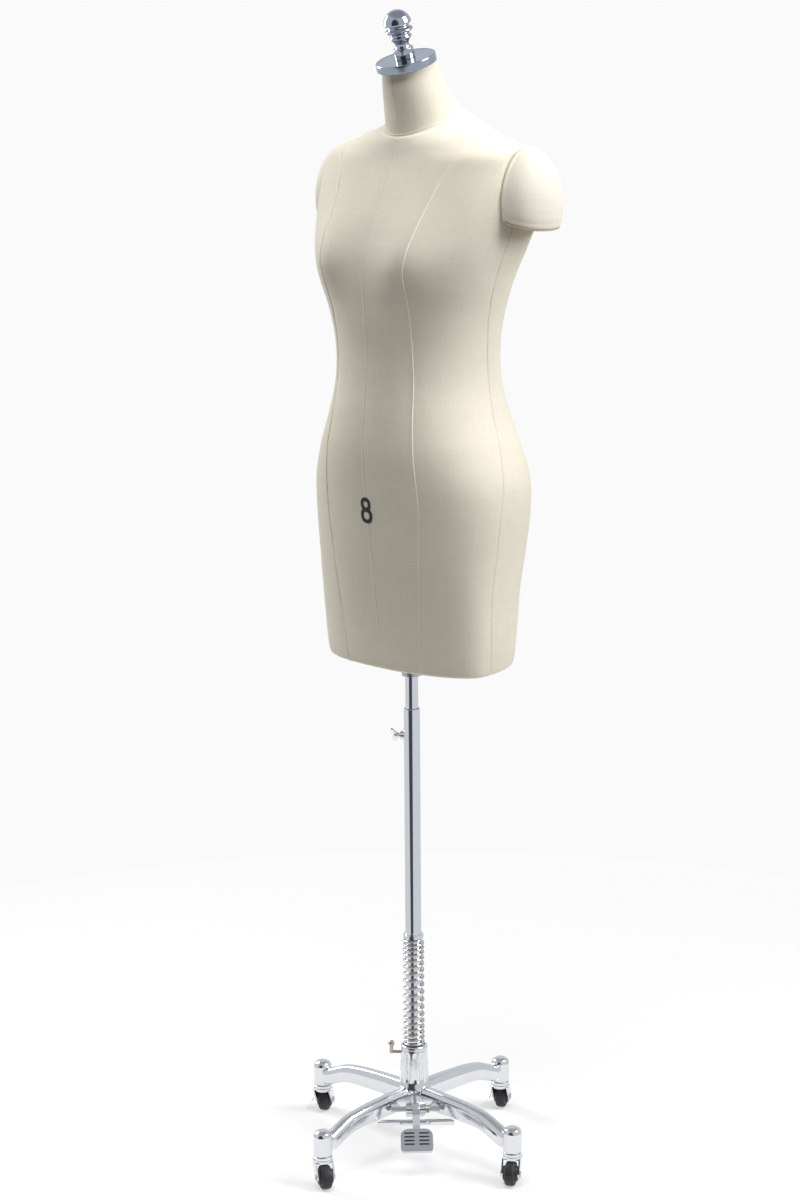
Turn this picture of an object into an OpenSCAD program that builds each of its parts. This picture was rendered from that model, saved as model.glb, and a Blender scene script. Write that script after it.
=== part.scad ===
// Dress form on a rolling cast base: torso with linen panels, neck cap with finial,
// magnetic shoulder caps, telescopic pole, return spring, foot pedal and swivel casters.
// Millimetres. The origin is on the floor under the pole, +Z is up, the chest faces -Y.

/* [Torso] */
// Height of the torso's hem above the floor
hem_z = 800; // [790:1:820]
// How far each shoulder's flat armhole stands from the middle
armhole_x = 178; // [174:1:184]
// Thickness of the linen cover and its padding
cover_t = 2.4; // [1.5:0.1:3]
// Thickness of the hard shell
shell_t = 6; // [4:1:9]
// How far the bust stands out
bust_h = 17; // [10:1:24]

/* [Neck] */
// Radius of the metal neck cap
cap_r = 45; // [42:1:48]
// Thickness of the neck cap's rim
cap_t = 12; // [8:1:14]
// Forward tilt of the neck cap
neck_tilt = 18; // [14:1:22]

/* [Pole] */
// Radius of the outer tube
tube_r = 12.5; // [12:0.5:14]
// Radius of the sliding inner tube
inner_r = 10; // [10:0.5:11.4]
// Height of the outer tube's top
tube_top = 718; // [700:1:730]
// Height of the outer tube's lower end
tube_foot = 56; // [55:1:58]
// Height of the wing screw
wing_z = 673; // [660:1:690]

/* [Return spring] */
// Height of the spring's upper seat
spring_top = 348; // [340:1:370]
// Radius of the spring at its wire's centre
spring_r = 15; // [14.6:0.1:16]
// Radius of the spring's wire
wire_r = 1.9; // [1.6:0.1:2]
// Turns of the spring
spring_turns = 18; // [14:0.5:20]

/* [Base] */
// Height of the hub's top
hub_top = 172; // [168:1:176]
// Radius of the hub
hub_r = 21; // [19:0.5:22]
// Distance from the pole to each caster
leg_r = 206; // [200:1:212]
// Height of the underside of the caster cups
cup_z = 50; // [50:1:54]
// Radius of the caster cups
cup_r = 14.5; // [13.5:0.5:16]

/* [Casters] */
// Radius of a caster's wheel
wheel_r = 19; // [18:0.5:19]
// Width of a caster's wheel
wheel_w = 16; // [14:1:18]
// How far a wheel trails behind its stem
trail = 12; // [8:1:14]

/* [Pedal] */
// Distance from the pole to the pedal's pivot
pivot_p = 58; // [56:1:60]
// Height of the pedal's pivot
pivot_z = 86; // [85:1:88]
// Width of the pedal's pad
pad_w = 50; // [44:1:56]

/* [Hidden] */
$fn = 48;
LINEN = [0.88, 0.86, 0.80];
CHROME = [0.80, 0.82, 0.85];
STEEL = [0.60, 0.61, 0.63];
BLACK = [0.08, 0.08, 0.09];
WOOD = [0.62, 0.47, 0.32];

fit = 0.05;              // radial clearance of a running fit
gap = 0.4;               // clear space between neighbours that don't touch
pedal_turn = -45;        // the pedal points midway between the front leg and the left leg
neck_h = 888;            // middle of the neck cap's underside, above the hem
neck_z = hem_z + neck_h;
neck_y = -1;

// Torso stations from the hem to the neck. Each is
// [half width, front y, side y, back y, front height, side height, back height,
//  squareness, x of the front princess seam, x of the back princess seam],
// with heights above the hem.
STATIONS = [
    [138, -48,  10, 128, -12, -12, -12, 2.2, 68, 66],
    [150, -62,  -2, 144, -9, -9, -9, 2.2, 74, 72],
    [156, -69,  -6, 151, 0, 0, 0, 2.2, 76, 76],
    [162, -73,  -5, 153, 48, 48, 48, 2.2, 79, 80],
    [166, -81,  -2, 156, 108, 108, 108, 2.2, 84, 84],
    [172, -89,   6, 162, 168, 168, 168, 2.2, 89, 88],
    [178, -95,  14, 166, 228, 228, 228, 2.2, 94, 88],
    [177, -101, 21, 162, 278, 278, 278, 2.2, 93, 82],
    [163, -105, 28, 148, 328, 328, 328, 2.2, 88, 72],
    [143, -102, 32, 132, 378, 378, 378, 2.2, 82, 63],
    [130, -96,  33, 121, 428, 428, 428, 2.2, 78, 57],
    [130, -94,  30, 119, 478, 478, 478, 2.2, 76, 57],
    [139, -98,  23, 126, 528, 528, 528, 2.2, 78, 62],
    [157, -101, 16, 137, 578, 578, 578, 2.2, 81, 72],
    [170, -97,  20, 150, 618, 618, 618, 2.3, 86, 80],
    [180, -83,  30, 163, 658, 658, 662, 2.4, 90, 88],
    [188, -62,  42, 168, 700, 700, 706, 2.5, 96, 94],
    [190, -46,  54, 164, 732, 736, 748, 2.5, 106, 102],
    [184, -38,  59, 157, 750, 764, 774, 2.4, 118, 113],
    [150, -34,  56, 146, 763, 779, 792, 2.2, 126, 126],
    [112, -31,  49, 130, 775, 790, 809, 2.1, 126, 126],
    [78, -28,   41, 112, 784, 799, 823, 2.0, 126, 126],
    [58, -24,   34,  92, 788, 808, 836, 2.0, 126, 126],
    [51, -27,   21,  73, 820, 832, 850, 2.0, 126, 126],
    [45, -33,    9,  55, 850, 863, 878, 2.0, 126, 126],
    [41, -36,    3,  42, 876, 889, 901, 2.0, 126, 126]];
V_TOP = len(STATIONS) - 1;
V_NECK = 22;             // station of the seam at the base of the neck
V_SPLIT = 19.6;          // station where the princess seams reach the shoulder seam

// ---- helpers -------------------------------------------------------------------------

// Smooth value of a curve through four neighbouring values
function ease(a, b, c, d, f) =
    b + 0.5 * f * (c - a + f * (2 * a - 5 * b + 4 * c - d + f * (3 * (b - c) + d - a)));
function row(rows, v) =
    let (n = len(rows) - 1, i = min(n - 1, floor(v)), f = v - i,
         a = rows[max(0, i - 1)], b = rows[i], c = rows[i + 1], d = rows[min(n, i + 2)])
    [for (k = [0:len(b) - 1]) ease(a[k], b[k], c[k], d[k], f)];
function power(x, p) = sign(x) * pow(abs(x), p);
function bell(x, r) = exp(-pow(x / r, 2));
function unit(a) = a / norm(a);

// Closed solid through a list of closed loops of points. A thin loop runs along one
// face of a sheet and back along the other.
module loft(loops, thin = false) {
    n = len(loops[0]);
    m = len(loops);
    last = (m - 1) * n;
    sides = [for (j = [0:m - 2], i = [0:n - 1])
        let (k = (i + 1) % n)
        each [[j * n + i, (j + 1) * n + k, j * n + k], [j * n + i, (j + 1) * n + i, (j + 1) * n + k]]];
    ends = thin
        ? [for (i = [0:n / 2 - 2]) let (k = n - 1 - i) each [
            [i, i + 1, k], [i + 1, k - 1, k],
            [last + i, last + k, last + i + 1], [last + i + 1, last + k, last + k - 1]]]
        : [[for (i = [0:n - 1]) i], [for (i = [n - 1:-1:0]) last + i]];
    polyhedron([for (loop = loops) each loop], concat(sides, ends), convexity = 8);
}

module ring(r_out, r_in, z0, z1) {
    rotate_extrude()
        translate([r_in, z0])
            square([r_out - r_in, z1 - z0]);
}

module mirrored(side) {
    mirror([side < 0 ? 1 : 0, 0, 0]) children();
}

// ---- the torso's outside -------------------------------------------------------------

// Point of the outside at station v and angle t: 0 is the front, 90 the left side.
// From one station above the neck seam, each ring lies in a sloping plane.
function on_body(v, t) =
    let (s = row(STATIONS, v), c = cos(t), e = 2 / s[7],
         depth = c > 0 ? s[2] - s[1] : s[3] - s[2],
         x = s[0] * power(sin(t), e),
         y = s[2] - depth * power(c, e),
         h = s[5] + ((c > 0 ? s[4] : s[6]) - s[5]) * pow(abs(c), max(1, min(2, 24 - v))),
         bust = bust_h * bell(abs(x) - 84, 44) * bell(h - 606, h > 606 ? 62 : 48),
         yoke = c < 0 ? 15 * bell(v - 19.6, 1.5) * pow(sin(2 * t), 2) : 0,
         seat = 8 * bell(abs(x) - 72, 52) * bell(h - 198, 70),
         blade = 5 * bell(abs(x) - 84, 50) * bell(h - 688, 70))
    [max(-armhole_x, min(armhole_x, x)), c > 0 ? y - bust * c : y + (seat + blade) * -c,
     hem_z + h - yoke];
// The same point, pushed inwards by d
function inset(v, t, d) =
    let (dv = 0.05, lo = max(0, v - dv), hi = min(V_TOP, v + dv),
         along = on_body(hi, t) - on_body(lo, t),
         around = on_body(v, t + 1) - on_body(v, t - 1),
         n = cross(around, along))
    on_body(v, t) - d * n / max(0.0001, norm(n));
function front_seam(v) =
    let (s = row(STATIONS, v)) asin(min(1, pow(s[8] / s[0], s[7] / 2)));
function side_seam(v) = v < 6 ? 98 - 2 * v : min(90, 80 + v);
function back_seam(v) =
    let (s = row(STATIONS, v)) 180 - asin(min(1, pow(s[9] / s[0], s[7] / 2)));

SHELL_V = [for (v = [0:1:2]) v, for (v = [2.5:0.5:V_TOP]) v];
shell_gap = 2;           // padding between the shell and the cover

// ---- torso ---------------------------------------------------------------------------

// Closed sheet from angle a to angle b, between two depths under the outside
function sheet_loop(v, a, b, columns, near, far) =
    let (ts = [for (i = [0:columns]) a + (b - a) * i / columns])
    concat([for (t = ts) inset(v, t, near)],
           [for (i = [columns:-1:0]) inset(v, ts[i], far)]);

shell_seam = 1.5;        // angle left open on each side where the halves meet
// The shell is moulded in two halves that meet at the sides
module half_shell(a, b) {
    near = cover_t + shell_gap;
    color(WOOD)
        loft([for (v = SHELL_V) sheet_loop(v, a, b, 18, near, near + shell_t)], thin = true);
}
module torso_shell_front() { half_shell(shell_seam - 90, 90 - shell_seam); }
module torso_shell_back() { half_shell(90 + shell_seam, 270 - shell_seam); }

// One sheet of the cover between two seams, given by the angles a(v) and b(v)
module panel(side, rows, columns, edges) {
    color(LINEN)
        mirrored(side)
            loft([for (v = rows) sheet_loop(v, edges(v)[0], edges(v)[1], columns, 0, cover_t)],
                 thin = true);
}
BODY_V = [for (v = [0:0.5:V_SPLIT - 0.2]) v, V_SPLIT - 0.05];
CENTRE_V = [for (v = [0:0.5:V_NECK]) v];
NECK_V = [for (v = [V_NECK + 0.05, each [V_NECK + 0.5:0.5:V_TOP]]) v];
seam_gap = 0.12;         // angle left open at each seam
front_centre = function (v) [seam_gap, front_seam(v) - seam_gap];
side_front = function (v) [front_seam(v) + seam_gap, side_seam(v) - seam_gap];
side_back = function (v) [side_seam(v) + seam_gap, back_seam(v) - seam_gap];
back_centre = function (v) [back_seam(v) + seam_gap, 180 - seam_gap];
half_neck = function (v) [seam_gap * 2, 180 - seam_gap * 2];

module panel_front_left() { panel(1, CENTRE_V, 5, front_centre); }
module panel_front_right() { panel(-1, CENTRE_V, 5, front_centre); }
module panel_side_front_left() { panel(1, BODY_V, 6, side_front); }
module panel_side_front_right() { panel(-1, BODY_V, 6, side_front); }
module panel_side_back_left() { panel(1, BODY_V, 6, side_back); }
module panel_side_back_right() { panel(-1, BODY_V, 6, side_back); }
module panel_back_left() { panel(1, CENTRE_V, 5, back_centre); }
module panel_back_right() { panel(-1, CENTRE_V, 5, back_centre); }
module neck_covers() {
    panel(1, NECK_V, 16, half_neck);
    panel(-1, NECK_V, 16, half_neck);
}

// Plywood board that closes the hem
module bottom_board() {
    rim = [for (t = [0:6:354]) let (p = inset(2, t, cover_t + shell_gap + shell_t + 6)) [p.x, p.y]];
    color(WOOD)
        difference() {
            translate([0, 0, hem_z])
                linear_extrude(12)
                    polygon(rim);
            translate([0, 0, hem_z - 1])
                cylinder(r = inner_r + 6, h = 14);
        }
}

// Socket under the board that carries the torso on the inner tube
module pole_flange() {
    color(STEEL)
        difference() {
            union() {
                ring(42, inner_r + fit, hem_z - 4, hem_z);
                ring(inner_r + 5, inner_r + fit, hem_z - 30, hem_z + 40);
            }
            for (a = [45:90:315])
                rotate(a)
                    translate([34, 0, hem_z - 5])
                        cylinder(r = 2.6, h = 6);
        }
}
module flange_screws() {
    color(STEEL)
        for (a = [45:90:315])
            rotate(a)
                translate([34, 0, 0])
                    rotate_extrude()
                        polygon([[0, hem_z - 6.5], [3, hem_z - 6.5], [4.5, hem_z - 4.05],
                                 [2.5, hem_z - 4.05], [2.5, hem_z - 0.05], [0, hem_z - 0.05]]);
}

// Oval boards behind the armholes
module armhole_boards() {
    color(WOOD)
        for (side = [-1, 1])
            mirrored(side)
                translate([armhole_x - cover_t - shell_gap - shell_t - 6, 60, hem_z + 712])
                    rotate([0, 90, 0])
                        cylinder(r = 28, h = 5);
}

// ---- neck ----------------------------------------------------------------------------

module on_neck() {
    translate([0, neck_y, neck_z])
        rotate([neck_tilt, 0, 0])
            children();
}
module neck_block() {
    color(WOOD)
        difference() {
            on_neck()
                translate([0, 0, -40])
                    cylinder(r = 26, h = 39.5);
            cylinder(r = inner_r + 0.6, h = neck_z - 30);
            on_neck()
                translate([0, 0, -14])
                    cylinder(r = 4 + fit, h = 20);
        }
}
module neck_cap() {
    color(CHROME)
        on_neck()
            rotate_extrude()
                polygon([[4 + fit, fit], [cap_r - 0.5, fit], [cap_r, 0.5], [cap_r, cap_t - 1],
                         [cap_r - 1, cap_t], [cap_r - 3, cap_t], [cap_r - 3.4, cap_t - 0.5],
                         [4 + fit, cap_t - 0.5]]);
}
module neck_stud() {
    color(STEEL)
        on_neck()
            translate([0, 0, -13])
                cylinder(r = 4, h = 13 + cap_t + 10);
}
// Turned finial: a collar, a waist and two stacked rings under a dome
module finial() {
    z = cap_t - 0.5;
    color(CHROME)
        on_neck()
            rotate_extrude($fn = 64)
                polygon([[4 + fit, z], [14.5, z], [15, z + 0.5], [15, z + 15],
                         [14.5, z + 15.6], [11.6, z + 15.8], [10.4, z + 19], [10.6, z + 23],
                         [13, z + 27], [16.6, z + 30.5], [17, z + 32], [14.4, z + 34.5],
                         [14.2, z + 36.5], [19.6, z + 40], [20.8, z + 42], [20.2, z + 43.6],
                         [15.6, z + 46.4], [15.4, z + 48.4], [19.8, z + 51], [20.8, z + 53.4],
                         [20, z + 57.5], [17.6, z + 62.5], [13.4, z + 67.5], [7.6, z + 71],
                         [0, z + 72.4], [0, z + 11], [4 + fit, z + 11]]);
}

// ---- shoulder caps -------------------------------------------------------------------

cap_floor = hem_z + 664; // height of a shoulder cap's flat underside
cap_slope = 17;          // how far the underside drops outwards, in degrees
cap_y = 60;              // middle of a shoulder cap, front to back
// Height above the underside, half depth and bulge of the cap at each level
CAP = [[0, 53, 40], [16, 55, 43], [32, 55, 44], [50, 52, 43], [68, 45, 38.5],
       [84, 35, 31], [96, 23, 21], [103, 10, 10]];
module cap_form(side) {
    color(LINEN)
        mirrored(side)
            loft([for (v = [0:0.5:len(CAP) - 1])
                let (s = row(CAP, v))
                [for (a = [-90:10:90])
                    let (out = s[2] * power(cos(a), 0.9))
                    [armhole_x + 5.6 + out, cap_y + s[1] * sin(a),
                     cap_floor + 3 + s[0] - out * tan(cap_slope) * (1 - s[0] / 103)]]]);
}
// Hard board on the cap's inner side and underside
module cap_board(side) {
    function outline(grow) = [for (v = [0:0.5:len(CAP) - 1], s = [row(CAP, v)])
        [cap_y - s[1] - grow, cap_floor + 3 + s[0]]];
    near = outline(0);
    far = [for (i = [len(near) - 1:-1:0]) [2 * cap_y - near[i].x, near[i].y]];
    color(WOOD)
        mirrored(side) {
            translate([armhole_x + 0.6, 0, 0])
                rotate([90, 0, 90])
                    linear_extrude(4.8)
                        polygon(concat(near, far));
            translate([armhole_x + 5.6, cap_y, cap_floor + 2.8])
                rotate([0, cap_slope, 0])
                    translate([0, 0, -2.8])
                        linear_extrude(2.8)
                            polygon([for (a = [-90:10:90])
                                [CAP[0][2] * power(cos(a), 0.9), CAP[0][1] * sin(a)]]);
        }
}
module cap_magnets(side) {
    color(STEEL)
        mirrored(side)
            for (z = [cap_floor + 26, cap_floor + 66])
                translate([armhole_x + 0.25, cap_y, z])
                    rotate([0, 90, 0])
                        cylinder(r = 9, h = 0.35);
}
module cap_left() { cap_form(1); }
module cap_right() { cap_form(-1); }
module cap_board_left() { cap_board(1); }
module cap_board_right() { cap_board(-1); }
module cap_magnets_left() { cap_magnets(1); }
module cap_magnets_right() { cap_magnets(-1); }

// ---- pole ----------------------------------------------------------------------------

wing_turn = 200;         // the wing screw points to the form's right and a little forward
module wing_place() {
    translate([0, 0, wing_z])
        rotate(wing_turn)
            rotate([0, 90, 0])
                children();
}
module inner_tube() {
    color(CHROME)
        ring(inner_r, inner_r - 1.5, 470, neck_z - 32);
}
module outer_tube() {
    color(CHROME)
        difference() {
            rotate_extrude()
                polygon([[tube_r - 1.2, tube_foot], [tube_r, tube_foot],
                         [tube_r, tube_top - 0.6], [tube_r - 0.6, tube_top],
                         [tube_r - 1.2, tube_top]]);
            wing_place()
                cylinder(r = 4.1, h = 30);
            translate([0, 0, spring_top + 8])
                rotate([90, 0, 35])
                    cylinder(r = 2, h = 60, center = true);
        }
}
// Nylon sleeve that guides the inner tube in the outer tube's mouth
module tube_bushing() {
    color(BLACK)
        difference() {
            ring(tube_r - 1.2, inner_r + fit, tube_top - 120, tube_top - 1);
            wing_place()
                cylinder(r = 4.1, h = 30);
        }
}
module wing_boss() {
    color(CHROME)
        difference() {
            wing_place()
                translate([0, 0, tube_r - 2])
                    cylinder(r = 7, h = 7.5);
            cylinder(r = tube_r, h = tube_top);
            wing_place()
                cylinder(r = 3 + fit, h = 30);
        }
}
module wing_screw() {
    color(CHROME)
        wing_place() {
            translate([0, 0, inner_r + 0.05])
                cylinder(r = 3, h = 14);
            translate([0, 0, tube_r + 11.5])
                cylinder(r = 4.5, h = 5);
            rotate(50)
                for (s = [-1, 1])
                    translate([0, s * 3.5, tube_r + 14.5])
                        rotate([0, 90, 0])
                            translate([0, 0, -1.5])
                                hull() {
                                    cylinder(r = 2.4, h = 3, $fn = 24);
                                    translate([-4.5, s * 7.5, 0])
                                        cylinder(r = 4.2, h = 3, $fn = 24);
                                }
        }
}
// Pin through the outer tube that rests on the thrust ring
module cross_pin() {
    color(CHROME)
        translate([0, 0, spring_top + 8])
            rotate([90, 0, 35])
                difference() {
                    cylinder(r = 2 - 0.01, h = 2 * tube_r + 6, center = true);
                    cylinder(r = 3, h = 1, center = true, $fn = 4);
                }
}
module thrust_ring() {
    color(CHROME)
        ring(spring_r + 1, tube_r + fit, spring_top + 0.3, spring_top + 5.9);
}
module height_spring() {
    low = hub_top - 5.6;
    steps = 14 * spring_turns;
    rise = spring_top - low - 2 * wire_r;
    // The last two turns at each end lie closer together
    function lift(f) = f - 0.045 * sin(360 * f);
    color(CHROME)
        loft([for (i = [0:steps])
            let (f = i / steps, a = 360 * spring_turns * f, z = low + wire_r + rise * lift(f))
            [for (k = [0:60:300])
                let (r = spring_r + wire_r * cos(k))
                [r * cos(a), r * sin(a), z - wire_r * sin(k)]]]);
}

// ---- base ----------------------------------------------------------------------------

hub_foot = 72;           // underside of the hub
root_r = 26;             // radius of the hub where the legs meet it
handle_turn = 220;       // the lock handle points to the form's right
handle_z = 158;
module hub() {
    color(CHROME)
        difference() {
            union() {
                rotate_extrude($fn = 64)
                    polygon([[tube_r + fit, hub_foot], [root_r - 2, hub_foot],
                             [root_r, hub_foot + 4], [root_r, 104], [hub_r + 2, 112],
                             [hub_r + 1, 128], [hub_r, hub_top - 1.5], [hub_r - 1.5, hub_top],
                             [spring_r + wire_r + 0.5, hub_top],
                             [spring_r + wire_r + 0.5, hub_top - 6],
                             [tube_r + fit, hub_top - 6]]);
                // Ears that carry the lock plate's hinge
                rotate(pedal_turn)
                    for (s = [-1, 1])
                        translate([-24, s * 10.5 - 1.5, plate_z - 3])
                            cube([8, 3, hub_foot + 1 - plate_z + 3]);
            }
            // Flutes around the column
            for (a = [0:30:330])
                rotate(a + 15)
                    translate([hub_r + 5.4, 0, 112])
                        cylinder(r = 4.5, h = hub_top - 124);
            rotate(handle_turn)
                translate([0, 0, handle_z])
                    rotate([0, 90, 0])
                        cylinder(r = 2.5 + fit, h = 30);
        }
}

// One leg's centre line: [distance, height, half width, half height]
LEG = [[22, 89, 11, 15.5], [50, 89, 10.5, 15.2], [85, 88, 10, 14.8], [120, 86.5, 9.8, 13.8],
       [148, 83, 9.8, 12.8], [170, 75, 10, 12.2], [188, 68, 10.5, 12], [202, 66, 9.5, 12]];
module leg(turn) {
    color(CHROME)
        rotate(turn)
            difference() {
                union() {
                    loft([for (v = [0:0.5:len(LEG) - 1])
                        let (s = row(LEG, v),
                             d = row(LEG, min(len(LEG) - 1, v + 0.1))
                               - row(LEG, max(0, v - 0.1)),
                             a = atan2(d[1], d[0]))
                        [for (t = [0:22.5:337.5])
                            let (up = s[3] * power(sin(t), 0.6), w = 1 - 0.14 * sin(t))
                            [s[0] - up * sin(a), s[2] * w * power(cos(t), 0.6),
                             s[1] + up * cos(a)]]]);
                    translate([leg_r, 0, 0])
                        rotate_extrude()
                            polygon([[0, cup_z], [cup_r - 1, cup_z], [cup_r, cup_z + 1],
                                     [cup_r, cup_z + 32], [cup_r - 2, cup_z + 37],
                                     [cup_r - 7, cup_z + 40], [0, cup_z + 40.6]]);
                }
                translate([leg_r, 0, cup_z - 1])
                    cylinder(r = 5 + fit, h = 30);
                cylinder(r = root_r + 0.02, h = 200);
            }
}
module leg_front() { leg(-90); }
module leg_left() { leg(0); }
module leg_back() { leg(90); }
module leg_right() { leg(180); }

// Bent rod with a ball, screwed into the hub to stop the form from turning
module lock_handle() {
    bend = hub_r + 15;
    color(STEEL)
        rotate(handle_turn)
            translate([0, 0, handle_z]) {
                translate([tube_r + 0.6, 0, 0])
                    rotate([0, 90, 0])
                        cylinder(r = 2.5, h = bend - tube_r);
                translate([bend, 0, -1.8]) cylinder(r = 2.9, h = 13);
                translate([bend, 0, 14]) sphere(r = 5);
            }
}

// ---- foot pedal ----------------------------------------------------------------------

module pedal_frame() {
    rotate(pedal_turn) children();
}
// Bar along the pedal's pivot, from one side of the pedal to the other
module cross_rod(r, from, to) {
    translate([pivot_p, 0, pivot_z])
        rotate([-90, 0, 0])
            translate([0, 0, from])
                cylinder(r = r, h = to - from);
}
module cross_bar() {
    color(CHROME)
        pedal_frame()
            translate([0, 0, 66])
                linear_extrude(8)
                    polygon([[70, -54], [77, -61], [77, 61], [70, 54]]);
}
module pivot_shaft() {
    color(STEEL)
        pedal_frame()
            cross_rod(4, -38, 38);
}
module pivot_bosses() {
    color(CHROME)
        pedal_frame()
            for (s = [-1, 1])
                difference() {
                    cross_rod(10, s > 0 ? 6 : -15, s > 0 ? 15 : -6);
                    cross_rod(4 + fit, -20, 20);
                }
}
module pedal_spring() {
    color(STEEL)
        pedal_frame()
            translate([pivot_p, 0, pivot_z])
                rotate([-90, 0, 0])
                    for (i = [0:2])
                        translate([0, 0, 16.4 + 2.2 * i])
                            rotate_extrude()
                                translate([5.6, 0])
                                    circle(r = 1, $fn = 24);
}
arm_w = 11;              // width of the pedal's arm
pad_tilt = 42;           // how far the pad slopes down, in degrees
pad_p = 92;              // where the pad starts
pad_z = 66;              // height at which the pad starts
module pedal_arm() {
    color(CHROME)
        pedal_frame()
            difference() {
                union() {
                    cross_rod(9, -arm_w / 2, arm_w / 2);
                    translate([0, arm_w / 2, 0])
                        rotate([90, 0, 0])
                            linear_extrude(arm_w)
                                polygon([[23, 52], [27, 49], [36, 57], [54, 77.4],
                                         [64, 80], [80, 79], [86, 68], [94, 60], [95, 66],
                                         [92, 73], [85, 87], [77, 93],
                                         [pivot_p + 2, pivot_z + 8.8],
                                         [pivot_p - 9, pivot_z], [32, 59], [25, 54.5]]);
                }
                cross_rod(4 + fit, -20, 20);
            }
}
// D-shaped foot pad with grooves on both sides of a middle rib
module pedal_pad() {
    color(CHROME)
        pedal_frame()
            translate([pad_p, 0, pad_z])
                rotate([0, pad_tilt, 0])
                    difference() {
                        linear_extrude(7)
                            hull()
                                for (s = [-1, 1]) {
                                    translate([14, s * (pad_w / 2 - 12)]) circle(r = 12, $fn = 32);
                                    translate([35, s * (pad_w / 2 - 5)]) circle(r = 5, $fn = 32);
                                }
                        for (s = [-1, 1], i = [0:3])
                            translate([8 + 6.2 * i, s * (pad_w / 4 - 1) - pad_w / 4 + 4, 5])
                                cube([2.6, pad_w / 2 - 8, 3]);
                        translate([-2, -arm_w / 2 - gap, -20])
                            cube([8, arm_w + 2 * gap, 24]);
                    }
}
plate_z = 60;            // underside of the lock plate
// Plate around the tube that tilts to grip it
module lock_plate() {
    color(STEEL)
        pedal_frame()
            difference() {
                union() {
                    translate([-15, -14, plate_z]) cube([40, 28, 4]);
                    translate([-20, -8.5, plate_z]) cube([6, 17, 4]);
                    translate([-20, -8.5, plate_z + 2])
                        rotate([-90, 0, 0])
                            cylinder(r = 3.5, h = 17);
                }
                translate([0, 0, plate_z - 5]) cylinder(r = tube_r + 1.2, h = 20);
            }
}

// ---- casters -------------------------------------------------------------------------

module at_caster(turn, trail_turn) {
    rotate(turn)
        translate([leg_r, 0, 0])
            rotate(trail_turn - turn)
                children();
}
hub_half = wheel_w / 2 + 3.2; // half width of the wheel's hub
fork_in = hub_half + 0.6;
fork_t = 2.4;
crown = 2 * wheel_r + 0.8; // underside of the fork's top
module fork_shape() {
    for (s = [-1, 1])
        translate([0, s > 0 ? fork_in + fork_t : -fork_in, 0])
            rotate([90, 0, 0])
                linear_extrude(fork_t)
                    difference() {
                        hull() {
                            translate([trail, wheel_r]) circle(r = 6.5, $fn = 32);
                            translate([-10, crown]) square([20, 2.5]);
                        }
                        translate([trail, wheel_r]) circle(r = 3 + fit);
                    }
    difference() {
        cylinder(r = 13, h = crown + 4);
        cylinder(r = 20, h = crown, center = false);
    }
    rotate_extrude()
        polygon([[0, crown + 2], [13, crown + 2], [15, crown + 2.8], [15, crown + 5],
                 [13.4, crown + 5.6], [13.4, crown + 6.4], [14.4, crown + 7],
                 [14.4, cup_z - 1.4], [13, cup_z - 0.6], [5, cup_z - 0.6],
                 [5, cup_z + 24], [0, cup_z + 24]]);
}
module fork(turn, trail_turn) {
    color(CHROME)
        at_caster(turn, trail_turn)
            fork_shape();
}
module wheel(turn, trail_turn) {
    r = wheel_r;
    w = wheel_w / 2;
    color(BLACK)
        at_caster(turn, trail_turn)
            translate([trail, 0, wheel_r])
                rotate([-90, 0, 0])
                    rotate_extrude($fn = 64)
                        polygon([[3 + fit, -hub_half], [10.4, -hub_half],
                                 [11.6, -hub_half + 1], [12, -w + 0.6], [r - 5, -w + 0.6],
                                 [r - 4, -w], [r - 2, -w + 0.6], [r, -w + 3], [r, w - 3],
                                 [r - 2, w - 0.6], [r - 4, w], [r - 5, w - 0.6],
                                 [12, w - 0.6], [11.6, hub_half - 1], [10.4, hub_half],
                                 [3 + fit, hub_half]]);
}
module axle(turn, trail_turn) {
    half = fork_in + fork_t + 1.2;
    color(STEEL)
        at_caster(turn, trail_turn)
            translate([trail, 0, wheel_r])
                rotate([-90, 0, 0]) {
                    translate([0, 0, -half]) cylinder(r = 3, h = 2 * half);
                    for (s = [-1, 1])
                        translate([0, 0, s > 0 ? fork_in + fork_t + 0.05 : -half])
                            cylinder(r = 4.6, h = half - fork_in - fork_t - 0.05);
                }
}
// Side lever that a toe presses down against the wheel
module brake(turn, trail_turn, side) {
    y0 = side * (fork_in + fork_t + 2.2);
    color(CHROME)
        at_caster(turn, trail_turn)
            translate([trail, y0, 29]) {
                rotate([0, 90, 0])
                    translate([0, 0, -8])
                        cylinder(r = 1.8, h = 16);
                rotate([0, 0, side * 127])
                    rotate([0, 45, 0])
                        translate([0, 0, -1])
                            linear_extrude(2) {
                                translate([1.5, -2.5]) square([7.5, 5]);
                                hull() {
                                    translate([9, -8]) square([1, 16]);
                                    for (w = [-4, 4])
                                        translate([17, w]) circle(r = 5, $fn = 32);
                                }
                            }
            }
}
// Directions in which the casters trail at rest
FRONT_TRAIL = -30;
LEFT_TRAIL = -60;
REAR_TRAIL = 120;
module fork_front() { fork(-90, FRONT_TRAIL); }
module wheel_front() { wheel(-90, FRONT_TRAIL); }
module axle_front() { axle(-90, FRONT_TRAIL); }
module fork_left() { fork(0, LEFT_TRAIL); }
module wheel_left() { wheel(0, LEFT_TRAIL); }
module axle_left() { axle(0, LEFT_TRAIL); }
module fork_back() { fork(90, REAR_TRAIL); }
module wheel_back() { wheel(90, REAR_TRAIL); }
module axle_back() { axle(90, REAR_TRAIL); }
module brake_back() { brake(90, REAR_TRAIL, 1); }
module fork_right() { fork(180, REAR_TRAIL); }
module wheel_right() { wheel(180, REAR_TRAIL); }
module axle_right() { axle(180, REAR_TRAIL); }
module brake_right() { brake(180, REAR_TRAIL, 1); }

// ---- output --------------------------------------------------------------------------

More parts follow.
